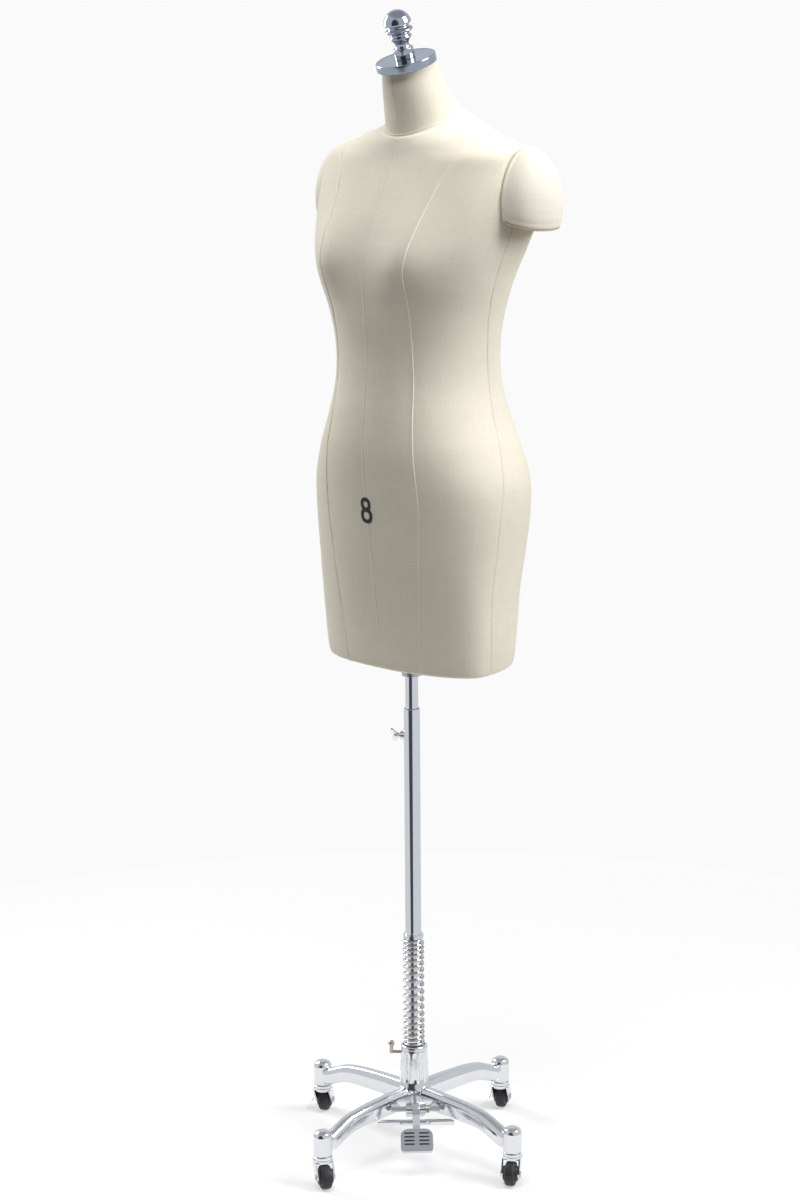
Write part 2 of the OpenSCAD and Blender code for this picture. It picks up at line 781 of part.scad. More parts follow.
hub();
leg_front();
leg_right();
leg_back();
leg_left();
cross_bar();
pivot_shaft();
pivot_bosses();
pedal_spring();
height_spring();
pedal_arm();
pedal_pad();
lock_plate();
lock_handle();
thrust_ring();
outer_tube();
cross_pin();
wing_boss();
tube_bushing();
wing_screw();
inner_tube();
pole_flange();
flange_screws();
bottom_board();
torso_shell_front();
torso_shell_back();
neck_block();
neck_cap();
neck_stud();
panel_front_left();
panel_front_right();
panel_side_front_left();
panel_side_front_right();
panel_side_back_left();
panel_side_back_right();
panel_back_left();
panel_back_right();
neck_covers();
armhole_boards();
finial();
cap_left();
cap_board_left();
cap_magnets_left();
cap_right();
cap_board_right();
cap_magnets_right();
fork_front();
wheel_front();
axle_front();
fork_left();
wheel_left();
axle_left();
fork_back();
wheel_back();
axle_back();
brake_back();
fork_right();
wheel_right();
axle_right();
brake_right();
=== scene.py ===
import bpy, math
import numpy as np
from mathutils import Matrix, Vector


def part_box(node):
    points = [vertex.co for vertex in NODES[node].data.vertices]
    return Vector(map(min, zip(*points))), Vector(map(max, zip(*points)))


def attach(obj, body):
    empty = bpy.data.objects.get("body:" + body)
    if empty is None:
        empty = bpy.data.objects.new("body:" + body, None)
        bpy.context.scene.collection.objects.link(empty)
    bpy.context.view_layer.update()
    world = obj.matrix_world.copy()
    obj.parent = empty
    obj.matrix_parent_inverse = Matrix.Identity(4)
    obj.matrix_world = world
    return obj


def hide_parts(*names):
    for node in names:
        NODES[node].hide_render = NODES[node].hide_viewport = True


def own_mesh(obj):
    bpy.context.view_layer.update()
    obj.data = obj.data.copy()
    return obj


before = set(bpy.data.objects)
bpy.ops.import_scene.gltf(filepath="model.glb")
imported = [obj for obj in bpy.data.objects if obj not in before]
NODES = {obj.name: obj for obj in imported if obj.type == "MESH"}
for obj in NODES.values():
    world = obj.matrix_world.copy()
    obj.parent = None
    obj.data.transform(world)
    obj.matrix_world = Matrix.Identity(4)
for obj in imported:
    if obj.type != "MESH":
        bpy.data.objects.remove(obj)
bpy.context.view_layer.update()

MM = 0.001
TAU = 2 * math.pi
AMBIENT = 0.115       # light that soft surfaces get from all round
GAP_AZIMUTH = 22      # middle of the dark gap that polished metal sees
PAPER_WHITE = 0.955   # brightness of the backdrop
FLOOR_GLOW = 0.46     # light of its own that the paper has near the middle
FLOOR_R = 1.6         # where the floor has faded into the backdrop

# ---- camera, light and floor ----------------------------------------------------------


def add_camera():
    """The photographed view: from the form's front left, a little above the neck."""
    distance, height = 4.036, 1.722
    azimuth, heading, pitch, roll = (math.radians(a) for a in (43.29, 43.53, 11.68, -0.44))
    data = bpy.data.cameras.new("camera")
    data.lens = 81
    data.sensor_fit = "VERTICAL"
    data.sensor_height = 36
    data.clip_end = 200
    camera = bpy.data.objects.new("camera", data)
    bpy.context.scene.collection.objects.link(camera)
    forward = Vector((-math.sin(heading) * math.cos(pitch), math.cos(heading) * math.cos(pitch),
                      -math.sin(pitch)))
    right = Vector((math.cos(heading), math.sin(heading), 0))
    up = right.cross(forward)
    side = right * math.cos(roll) + up * math.sin(roll)
    top = up * math.cos(roll) - right * math.sin(roll)
    turn = Matrix((side, top, -forward)).transposed().to_4x4()
    place = Vector((distance * math.sin(azimuth), -distance * math.cos(azimuth), height))
    camera.matrix_world = Matrix.Translation(place) @ turn
    bpy.context.scene.camera = camera


def around(azimuth, distance, height):
    """A place round the object; azimuth 0 is in front of the chest, 90 at its left side."""
    a = math.radians(azimuth)
    return Vector((distance * math.sin(a), -distance * math.cos(a), height))


def soft_box(name, azimuth, distance, height, size, power, aim=1.0, color=(1, 1, 1)):
    data = bpy.data.lights.new(name, "AREA")
    data.shape = "RECTANGLE"
    data.size, data.size_y = size
    data.energy = power
    data.color = color
    lamp = bpy.data.objects.new(name, data)
    bpy.context.scene.collection.objects.link(lamp)
    lamp.location = around(azimuth, distance, height)
    lamp.rotation_euler = (Vector((0, 0, aim)) - lamp.location).to_track_quat("-Z", "Y").to_euler()
    lamp.visible_camera = False
    return lamp


def add_world():
    """Soft white room. Polished metal also sees a dark gap on the camera's side of it."""
    world = bpy.data.worlds.new("studio")
    bpy.context.scene.world = world
    world.use_nodes = True
    tree = world.node_tree

    def node(kind, **values):
        made = tree.nodes.new(kind)
        for key, value in values.items():
            setattr(made, key, value)
        return made

    def step(value, low, high):
        made = node("ShaderNodeMapRange", interpolation_type="SMOOTHSTEP")
        tree.links.new(value, made.inputs["Value"])
        made.inputs["From Min"].default_value, made.inputs["From Max"].default_value = low, high
        return made.outputs["Result"]

    def product(a, b):
        made = node("ShaderNodeMath", operation="MULTIPLY")
        tree.links.new(a, made.inputs[0])
        tree.links.new(b, made.inputs[1])
        return made.outputs[0]

    direction = node("ShaderNodeTexCoord").outputs["Generated"]
    toward = node("ShaderNodeVectorMath", operation="DOT_PRODUCT")
    tree.links.new(direction, toward.inputs[0])
    toward.inputs[1].default_value = around(GAP_AZIMUTH, 1, 0)
    across = node("ShaderNodeVectorMath", operation="DOT_PRODUCT")
    tree.links.new(direction, across.inputs[0])
    across.inputs[1].default_value = (0, 0, 1)
    gap = product(step(toward.outputs["Value"], 0.80, 0.91),
                  step(across.outputs["Value"], 0.75, 0.55))
    ceiling = node("ShaderNodeMix", data_type="RGBA")
    tree.links.new(step(across.outputs["Value"], 0.62, 0.8), ceiling.inputs["Factor"])
    ceiling.inputs["A"].default_value = (0.70, 0.725, 0.76, 1)
    ceiling.inputs["B"].default_value = (0.42, 0.44, 0.47, 1)
    mix = node("ShaderNodeMix", data_type="RGBA")
    tree.links.new(gap, mix.inputs["Factor"])
    tree.links.new(ceiling.outputs["Result"], mix.inputs["A"])
    mix.inputs["B"].default_value = (0.06, 0.065, 0.08, 1)
    seen = node("ShaderNodeMix", data_type="RGBA")
    tree.links.new(node("ShaderNodeLightPath").outputs["Is Glossy Ray"], seen.inputs["Factor"])
    seen.inputs["A"].default_value = (AMBIENT, 0.97 * AMBIENT, 0.90 * AMBIENT, 1)
    tree.links.new(mix.outputs["Result"], seen.inputs["B"])
    tree.links.new(seen.outputs["Result"], tree.nodes["Background"].inputs["Color"])


def add_studio():
    bpy.context.scene.view_settings.view_transform = "Standard"
    add_world()
    soft_box("light_right", 118, 2.6, 2.9, (1.5, 2.2), 104)
    soft_box("light_left", -84, 2.9, 2.1, (1.0, 2.2), 68)
    # Level metal faces would show this one as a white patch
    soft_box("light_top", 30, 1.1, 4.0, (1.8, 1.8), 70).visible_glossy = False


def ring_sheet(name, profile, material, turns=96):
    """A sheet turned about Z from (radius, height) pairs."""
    verts, faces = [], []
    for r, z in profile:
        for k in range(turns):
            a = TAU * k / turns
            verts.append((r * math.cos(a), r * math.sin(a), z))
    for j in range(len(profile) - 1):
        for k in range(turns):
            n = (k + 1) % turns
            faces.append((j * turns + k, (j + 1) * turns + k, (j + 1) * turns + n, j * turns + n))
    made = new_object(name, verts, faces, material)
    return made


def add_floor():
    """A pale round floor that fades into a plain bright sweep all round."""
    rim, near = FLOOR_R, 0.5
    white = paper()
    ring_sheet("floor", [(0.0, 0.0), (0.4, 0.0), (near, 0.0)], white)
    outer = ring_sheet("floor_outer", [(near, 0.0), (rim, 0.0)], white)
    outer.visible_glossy = False
    sweep = [(rim, 0.0), (8.0, 0.0)]
    sweep += [(8.0 + 5.0 * math.sin(a), 5.0 - 5.0 * math.cos(a))
              for a in np.linspace(0.1, math.pi / 2, 12)]
    sweep += [(13.0, 12.0)]
    s = Shade("sweep_paper", (0, 0, 0), 1.0)
    s.bsdf.inputs["Specular IOR Level"].default_value = 0
    s.bsdf.inputs["Emission Color"].default_value = (1, 1, 1, 1)
    s.bsdf.inputs["Emission Strength"].default_value = PAPER_WHITE
    backdrop = ring_sheet("backdrop", sweep, s.mat)
    backdrop.visible_diffuse = backdrop.visible_glossy = backdrop.visible_shadow = False


# ---- materials ------------------------------------------------------------------------


class Shade:
    """A principled material and the few node chains that the materials below share."""

    def __init__(self, name, color, rough, metal=0.0):
        self.mat = bpy.data.materials.new(name)
        self.mat.use_nodes = True
        self.tree = self.mat.node_tree
        self.bsdf = self.tree.nodes["Principled BSDF"]
        self.bsdf.inputs["Base Color"].default_value = (*color, 1)
        self.bsdf.inputs["Roughness"].default_value = rough
        self.bsdf.inputs["Metallic"].default_value = metal
        self.coords = self.tree.nodes.new("ShaderNodeTexCoord")

    def node(self, kind, **values):
        made = self.tree.nodes.new(kind)
        for key, value in values.items():
            setattr(made, key, value)
        return made

    def link(self, a, b):
        self.tree.links.new(a, b)

    def scaled(self, source, scale):
        mapping = self.node("ShaderNodeMapping")
        self.link(self.coords.outputs[source], mapping.inputs["Vector"])
        mapping.inputs["Scale"].default_value = scale
        return mapping.outputs["Vector"]

    def noise(self, scale, stretch=(1, 1, 1), source="Object", detail=3.0, rough=0.55):
        made = self.node("ShaderNodeTexNoise")
        made.inputs["Scale"].default_value = scale
        made.inputs["Detail"].default_value = detail
        made.inputs["Roughness"].default_value = rough
        self.link(self.scaled(source, stretch), made.inputs["Vector"])
        return made.outputs["Fac"]

    def math(self, operation, a, b=None):
        made = self.node("ShaderNodeMath", operation=operation)
        for socket, value in zip(made.inputs, (a, b)):
            if isinstance(value, (int, float)):
                socket.default_value = value
            elif value is not None:
                self.link(value, socket)
        return made.outputs[0]

    def ramp(self, fac, low, high, a, b):
        """Numbers from a to b as fac goes from low to high."""
        made = self.node("ShaderNodeMapRange")
        self.link(fac, made.inputs["Value"])
        for key, value in (("From Min", low), ("From Max", high), ("To Min", a), ("To Max", b)):
            made.inputs[key].default_value = value
        return made.outputs["Result"]

    def mix(self, fac, a, b):
        made = self.node("ShaderNodeMix", data_type="RGBA")
        self.link(fac, made.inputs["Factor"])
        for socket, value in ((made.inputs["A"], a), (made.inputs["B"], b)):
            if isinstance(value, tuple):
                socket.default_value = (*value, 1)
            else:
                self.link(value, socket)
        return made.outputs["Result"]

    def bump(self, height, strength, distance, onto=None):
        made = self.node("ShaderNodeBump")
        made.inputs["Strength"].default_value = strength
        made.inputs["Distance"].default_value = distance
        self.link(height, made.inputs["Height"])
        if onto is not None:
            self.link(onto, made.inputs["Normal"])
        return made.outputs["Normal"]

    def color(self, socket):
        self.link(socket, self.bsdf.inputs["Base Color"])

    def rough(self, socket):
        self.link(socket, self.bsdf.inputs["Roughness"])

    def normal(self, socket):
        self.link(socket, self.bsdf.inputs["Normal"])


def paper():
    """Bright paper that still takes soft shadows near the middle, and none at its rim."""
    s = Shade("floor_paper", (0.5, 0.5, 0.505), 0.9)
    s.bsdf.inputs["Specular IOR Level"].default_value = 0.1
    radius = s.node("ShaderNodeVectorMath", operation="LENGTH")
    s.link(s.coords.outputs["Object"], radius.inputs[0])
    fade = s.ramp(radius.outputs["Value"], 0.5, FLOOR_R * 0.97, 0.0, 1.0)
    grain = s.mix(s.noise(40), (0.49, 0.49, 0.495), (0.51, 0.51, 0.515))
    s.color(s.mix(fade, grain, (0.0, 0.0, 0.0)))
    s.bsdf.inputs["Emission Color"].default_value = (1, 1, 1, 1)
    s.link(s.ramp(radius.outputs["Value"], 0.5, FLOOR_R * 0.97, FLOOR_GLOW, PAPER_WHITE),
           s.bsdf.inputs["Emission Strength"])
    return s.mat


def linen(name, light, dark, weave=1.0):
    """Plain-woven linen. The weave follows the panel's own width and length, in metres."""
    s = Shade(name, light, 0.88)
    s.bsdf.inputs["Sheen Weight"].default_value = 0.08
    s.bsdf.inputs["Sheen Roughness"].default_value = 0.45
    s.bsdf.inputs["Specular IOR Level"].default_value = 0.25
    split = s.node("ShaderNodeSeparateXYZ")
    s.link(s.coords.outputs["UV"], split.inputs[0])
    pitch = 0.0009
    warp = s.math("SINE", s.math("MULTIPLY", split.outputs["X"], TAU / pitch))
    weft = s.math("SINE", s.math("MULTIPLY", split.outputs["Y"], TAU / pitch))
    threads = s.math("MULTIPLY", warp, weft)
    slub_up = s.noise(900, (1.0, 0.05, 1), "UV", 2.0)
    slub_across = s.noise(900, (0.05, 1.0, 1), "UV", 2.0)
    slubs = s.math("ADD", slub_up, slub_across)
    mottle = s.noise(9, detail=4.0)
    yarn = s.math("ADD", s.noise(260, (1.0, 0.06, 1), "UV", 2.0),
                  s.noise(260, (0.06, 1.0, 1), "UV", 2.0))
    weave_tone = s.math("ADD", s.ramp(slubs, 0.7, 1.3, 0.0, 0.4), s.ramp(yarn, 0.7, 1.3, 0.0, 0.35))
    tone = s.math("ADD", weave_tone, s.ramp(mottle, 0.3, 0.7, 0.0, 0.25))
    s.color(s.mix(tone, dark, light))
    s.rough(s.ramp(slubs, 0.7, 1.3, 0.82, 0.95))
    fine = s.bump(threads, 0.25 * weave, 0.00012)
    s.normal(s.bump(slubs, 0.35 * weave, 0.0002, fine))
    return s.mat


def chrome(name, color, low=0.03, high=0.16, ripple=0.0, scale=40):
    """Plated metal with faint smears; ripple is the soft unevenness of a casting."""
    s = Shade(name, color, low, 1.0)
    smear = s.noise(scale, detail=5.0)
    s.rough(s.ramp(smear, 0.35, 0.75, low, high))
    s.color(s.mix(s.noise(scale * 3), tuple(0.93 * c for c in color), color))
    fine = s.bump(s.noise(1800, detail=2.0), 0.04, 0.00005)
    if ripple:
        fine = s.bump(s.noise(55, detail=2.0), ripple, 0.0008, fine)
    s.normal(fine)
    return s.mat


def brushed(name, color, low, high, stretch):
    s = Shade(name, color, low, 1.0)
    lines = s.noise(1500, stretch, detail=2.0)
    s.rough(s.ramp(lines, 0.3, 0.7, low, high))
    s.color(s.mix(lines, tuple(0.85 * c for c in color), color))
    s.normal(s.bump(lines, 0.15, 0.00008))
    return s.mat


def rubber():
    s = Shade("tread_rubber", (0.018, 0.018, 0.02), 0.5)
    dust = s.noise(160, detail=4.0)
    s.color(s.mix(s.ramp(dust, 0.55, 0.8, 0.0, 0.5), (0.016, 0.016, 0.018), (0.07, 0.068, 0.064)))
    s.rough(s.ramp(dust, 0.3, 0.7, 0.38, 0.66))
    s.normal(s.bump(s.noise(1400, detail=2.0), 0.25, 0.0001))
    return s.mat


def moulded(name, color):
    s = Shade(name, color, 0.42)
    grain = s.noise(2200, detail=2.0)
    s.rough(s.ramp(grain, 0.3, 0.7, 0.34, 0.5))
    s.normal(s.bump(grain, 0.2, 0.00006))
    s.color(s.mix(s.noise(60), color, tuple(1.5 * c + 0.004 for c in color)))
    return s.mat


def wood(name, light, dark, along):
    """Ply or hardboard with the grain along one axis."""
    s = Shade(name, light, 0.6)
    stretch = tuple(0.08 if axis == along else 1.0 for axis in "xyz")
    grain = s.noise(160, stretch, detail=6.0, rough=0.65)
    pores = s.noise(1200, stretch, detail=2.0)
    s.color(s.mix(s.ramp(grain, 0.35, 0.65, 0.0, 1.0), dark, light))
    s.rough(s.ramp(grain, 0.3, 0.7, 0.5, 0.7))
    s.normal(s.bump(pores, 0.3, 0.0002))
    return s.mat


def ink():
    """Printed numeral whose weave shows through."""
    s = Shade("ink_black", (0.012, 0.012, 0.013), 0.6)
    worn = s.noise(2600, detail=3.0)
    s.color(s.mix(s.ramp(worn, 0.7, 0.9, 0.0, 0.6), (0.012, 0.012, 0.013), (0.12, 0.115, 0.105)))
    s.rough(s.ramp(worn, 0.3, 0.7, 0.5, 0.8))
    return s.mat


# ---- mesh helpers ---------------------------------------------------------------------


def new_object(name, verts, faces, material, uvs=None, smooth=True):
    mesh = bpy.data.meshes.new(name)
    mesh.from_pydata([tuple(map(float, v)) for v in verts], [], faces)
    if uvs is not None:
        layer = mesh.uv_layers.new(name="cloth")
        corner = np.empty(len(mesh.loops), np.int32)
        mesh.loops.foreach_get("vertex_index", corner)
        layer.data.foreach_set("uv", np.asarray(uvs, np.float32)[corner].ravel())
    mesh.materials.append(material)
    mesh.update()
    if smooth:
        mesh.shade_smooth()
    made = bpy.data.objects.new(name, mesh)
    bpy.context.scene.collection.objects.link(made)
    return made


def loft(loops, closed_ends=True):
    """Vertices and faces of a tube through closed loops of points."""
    rows, count = len(loops), len(loops[0])
    verts = np.concatenate(loops)
    faces = []
    for j in range(rows - 1):
        a, b = j * count, (j + 1) * count
        for i in range(count):
            k = (i + 1) % count
            faces.append((a + i, a + k, b + k, b + i))
    if closed_ends:
        faces.append(tuple(range(count - 1, -1, -1)))
        faces.append(tuple((rows - 1) * count + i for i in range(count)))
    return verts, faces


def revolve(profile, turns=64):
    """Vertices and faces of a solid turned about Z from a closed list of (radius, height)."""
    points = np.array(profile, float)
    angles = TAU * np.arange(turns) / turns
    loops = [np.stack([points[:, 0] * math.cos(a), points[:, 0] * math.sin(a), points[:, 1]], 1)
             for a in angles]
    count = len(points)
    verts = np.concatenate(loops)
    faces = []
    for j in range(turns):
        a, b = j * count, ((j + 1) % turns) * count
        for i in range(count):
            k = (i + 1) % count
            faces.append((a + i, b + i, b + k, a + k))
    return verts, faces


def join_parts(parts):
    """One vertex list and face list out of several."""
    verts, faces, start = [], [], 0
    for v, f in parts:
        verts.append(np.asarray(v, float))
        faces += [tuple(start + i for i in face) for face in f]
        start += len(v)
    return np.concatenate(verts), faces


def apply_modifiers(made):
    depsgraph = bpy.context.evaluated_depsgraph_get()
    mesh = bpy.data.meshes.new_from_object(made.evaluated_get(depsgraph))
    made.modifiers.clear()
    made.data = mesh


def smooth_values(rows, v):
    """The stations' values at v, on the same curve as the CAD model's."""
    rows = np.asarray(rows, float)
    v = np.asarray(v, float)
    last = len(rows) - 1
    i = np.clip(np.floor(v).astype(int), 0, last - 1)
    f = (v - i)[..., None]
    a, b, c = rows[np.maximum(0, i - 1)], rows[i], rows[i + 1]
    d = rows[np.minimum(last, i + 2)]
    return b + 0.5 * f * (c - a + f * (2 * a - 5 * b + 4 * c - d + f * (3 * (b - c) + d - a)))


# ---- the torso's outside, in millimetres as in the CAD model ----------------------------

HEM_Z = 800.0
ARMHOLE_X = 178.0
COVER_T = 2.4
STATIONS = [
    [138, -48,  10, 128, -12, -12, -12, 2.2, 68, 66],
    [150, -62,  -2, 144, -9, -9, -9, 2.2, 74, 72],
    [156, -69,  -6, 151, 0, 0, 0, 2.2, 76, 76],
    [162, -73,  -5, 153, 48, 48, 48, 2.2, 79, 80],
    [166, -81,  -2, 156, 108, 108, 108, 2.2, 84, 84],
    [172, -89,   6, 162, 168, 168, 168, 2.2, 89, 88],
    [178, -95,  14, 166, 228, 228, 228, 2.2, 94, 88],
    [177, -101, 21, 162, 278, 278, 278, 2.2, 93, 82],
    [163, -105, 28, 148, 328, 328, 328, 2.2, 88, 72],
    [143, -102, 32, 132, 378, 378, 378, 2.2, 82, 63],
    [130, -96,  33, 121, 428, 428, 428, 2.2, 78, 57],
    [130, -94,  30, 119, 478, 478, 478, 2.2, 76, 57],
    [139, -98,  23, 126, 528, 528, 528, 2.2, 78, 62],
    [157, -101, 16, 137, 578, 578, 578, 2.2, 81, 72],
    [170, -97,  20, 150, 618, 618, 618, 2.3, 86, 80],
    [180, -83,  30, 163, 658, 658, 662, 2.4, 90, 88],
    [188, -62,  42, 168, 700, 700, 706, 2.5, 96, 94],
    [190, -46,  54, 164, 732, 736, 748, 2.5, 106, 102],
    [184, -38,  59, 157, 750, 764, 774, 2.4, 118, 113],
    [150, -34,  56, 146, 763, 779, 792, 2.2, 126, 126],
    [112, -31,  49, 130, 775, 790, 809, 2.1, 126, 126],
    [78, -28,   41, 112, 784, 799, 823, 2.0, 126, 126],
    [58, -24,   34,  92, 788, 808, 836, 2.0, 126, 126],
    [51, -27,   21,  73, 820, 832, 850, 2.0, 126, 126],
    [45, -33,    9,  55, 850, 863, 878, 2.0, 126, 126],
    [41, -36,    3,  42, 876, 889, 901, 2.0, 126, 126]]
V_TOP = len(STATIONS) - 1
V_NECK = 22
V_SPLIT = 19.6
BUST_H = 17.0


def power(x, p):
    return np.sign(x) * np.abs(x) ** p


def bell(x, r):
    return np.exp(-(x / r) ** 2)


def body_point(v, t):
    """Points at station v and angle t in degrees: 0 is the front, 90 the left side."""
    s = smooth_values(STATIONS, v)
    t = np.radians(t)
    c = np.cos(t)
    e = 2 / s[..., 7]
    depth = np.where(c > 0, s[..., 2] - s[..., 1], s[..., 3] - s[..., 2])
    x = s[..., 0] * power(np.sin(t), e)
    y = s[..., 2] - depth * power(c, e)
    plane = np.clip(24 - v, 1, 2)
    h = s[..., 5] + (np.where(c > 0, s[..., 4], s[..., 6]) - s[..., 5]) * np.abs(c) ** plane
    side = np.abs(x)
    bust = BUST_H * bell(side - 84, 44) * bell(h - 606, np.where(h > 606, 62, 48))
    seat = 8 * bell(side - 72, 52) * bell(h - 198, 70)
    blade = 5 * bell(side - 84, 50) * bell(h - 688, 70)
    y = np.where(c > 0, y - bust * c, y - (seat + blade) * c)
    yoke = np.where(c < 0, 15 * bell(v - 19.6, 1.5) * np.sin(2 * t) ** 2, 0)
    return np.stack([np.clip(x, -ARMHOLE_X, ARMHOLE_X), y, HEM_Z + h - yoke], -1)


def body_normal(v, t):
    dv = 0.05
    along = body_point(np.minimum(V_TOP, v + dv), t) - body_point(np.maximum(0, v - dv), t)
    around_ring = body_point(v, t + 1) - body_point(v, t - 1)
    n = np.cross(around_ring, along)
    return n / np.maximum(1e-9, np.linalg.norm(n, axis=-1, keepdims=True))


def seam_angle(v, column):
    s = smooth_values(STATIONS, v)
    return np.degrees(np.arcsin(np.minimum(1, (s[..., column] / s[..., 0]) ** (s[..., 7] / 2))))


def front_seam(v):
    return seam_angle(v, 8)


def side_seam(v):
    return np.where(v < 6, 98 - 2 * v, np.minimum(90, 80 + v))


def back_seam(v):
    return 180 - seam_angle(v, 9)


def mirrored(points, side):
    return points * np.array([side, 1, 1])


# ---- linen cover ------------------------------------------------------------------------


def wander(s, seed):
    """A soft repeatable wobble along a length s in millimetres."""
    return (np.sin(s / 7.3 + seed) + np.sin(s / 4.1 + 2.3 * seed)
            + np.sin(s / 13.7 + 5.1 * seed)) / 3


def cloth_panel(name, side, stations, left_edge, right_edge, columns, material, seed):
    """A closed sheet of cover between two seams. It dips and puckers beside each seam."""
    v = np.asarray(stations, float)
    a, b = left_edge(v), right_edge(v)
    middle = body_point(v, (a + b) / 2)
    height = np.concatenate([[0], np.cumsum(np.linalg.norm(np.diff(middle, axis=0), axis=1))])
    fine = body_point(v[:, None], a[:, None] + (b - a)[:, None] * np.linspace(0, 1, 41)[None])
    steps = np.linalg.norm(np.diff(fine, axis=1), axis=2)
    width = steps.sum(1)
    # Columns crowd towards the seams, at fixed distances from them
    near = np.array([0, 0.5, 1.2, 2.4, 4.5, 8.0])
    inner = np.linspace(0, 1, columns)[1:-1]
    reach = np.minimum(1.0, width / 40.0)
    dist = np.concatenate([near[None] * reach[:, None],
                           8 * reach[:, None] + (width - 16 * reach)[:, None] * inner[None],
                           width[:, None] - near[::-1][None] * reach[:, None]], 1)
    arc = np.concatenate([np.zeros((len(v), 1)), np.cumsum(steps, 1)], 1)
    share = np.array([np.interp(d, s, np.linspace(0, 1, 41)) for d, s in zip(dist, arc)])
    t = a[:, None] + (b - a)[:, None] * share
    vv = np.repeat(v[:, None], t.shape[1], 1)
    points, normals = body_point(vv, t), body_normal(vv, t)
    edge = np.minimum(dist, width[:, None] - dist)
    length = np.repeat(height[:, None], t.shape[1], 1)
    first = dist < width[:, None] / 2
    pucker = wander(length, np.where(first, seed, seed + 9)) * np.exp(-edge / 9) * 0.22
    dip = 0.35 * np.exp(-edge / 1.6) + 0.25 * np.exp(-edge / 9)
    swell = 0.35 * np.sin(length / 61 + seed) * np.sin(dist / 37 + 2 * seed)
    soft = np.clip(edge / 12, 0, 1)
    outer = points + normals * (pucker - dip + swell * soft)[..., None]
    inner_side = points - normals * COVER_T
    loops = [np.concatenate([o, i[::-1]]) for o, i in zip(outer, inner_side)]
    verts, faces = loft(loops, closed_ends=False)
    count, half = len(loops[0]), len(outer[0])
    for row in (0, len(loops) - 1):
        for i in range(half - 1):
            k = count - 1 - i
            quad = (row * count + i, row * count + i + 1, row * count + k - 1, row * count + k)
            faces.append(quad[::-1] if row else quad)
    uv = np.stack([dist + 50 * seed, length], -1)
    uvs = np.concatenate([np.concatenate([u, u[::-1]]) for u in uv]) * MM
    if side < 0:
        faces = [f[::-1] for f in faces]
    return new_object(name, mirrored(verts, side) * MM, [f[::-1] for f in faces], material, uvs)


def constant(angle):
    return lambda v: np.full(np.shape(v), float(angle))


def add_cover():
    cloth = linen("linen_cover", (0.81, 0.765, 0.65), (0.69, 0.65, 0.54))
    step = 0.1
    body = np.append(np.arange(0, V_SPLIT - 0.1, step), V_SPLIT - 0.02)
    centre = np.arange(0, V_NECK + step / 2, step)
    layout = [
        ("front", centre, constant(0.05), lambda v: front_seam(v) - 0.05, 30),
        ("side_front", body, lambda v: front_seam(v) + 0.05, lambda v: side_seam(v) - 0.04, 34),
        ("side_back", body, lambda v: side_seam(v) + 0.04, lambda v: back_seam(v) - 0.05, 34),
        ("back", centre, lambda v: back_seam(v) + 0.05, constant(179.95), 30)]
    seed = 1
    for side, word in ((1, "left"), (-1, "right")):
        for part, stations, a, b, columns in layout:
            made = cloth_panel(f"cover_{part}_{word}", side, stations, a, b, columns, cloth, seed)
            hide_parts(f"panel_{part}_{word}")
            finish_soft(made, "form")
            seed += 1
        neck = np.concatenate([[V_NECK + 0.02], np.arange(V_NECK + 0.1, V_TOP + 0.01, step)])
        made = cloth_panel(f"cover_neck_{word}", side, neck, constant(0.1), constant(179.9),
                           60, cloth, seed)
        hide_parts("neck_covers")
        finish_soft(made, "form")
        seed += 1


def finish_soft(made, body):
    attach(made, body)


def tube_along(points, radius, sides=8):
    """Vertices and faces of a round cord through points; radius may vary along it."""
    points = np.asarray(points, float)
    radius = np.broadcast_to(radius, len(points))
    tangent = np.gradient(points, axis=0)
    tangent /= np.linalg.norm(tangent, axis=1, keepdims=True)
    ref = np.array([0.0, 0.0, 1.0]) if abs(tangent[0, 2]) < 0.9 else np.array([0.0, 1.0, 0.0])
    loops = []
    for p, d, r in zip(points, tangent, radius):
        u = ref - d * (ref @ d)
        u /= np.linalg.norm(u)
        w = np.cross(d, u)
        ref = u
        angles = TAU * np.arange(sides) / sides
        loops.append(p + r * (np.cos(angles)[:, None] * u + np.sin(angles)[:, None] * w))
    return loft(loops)


def seam_points(v, t, side, lift):
    v = np.asarray(v, float)
    t = np.broadcast_to(t, v.shape).astype(float)
    return mirrored(body_point(v, t) + body_normal(v, t) * lift, side)


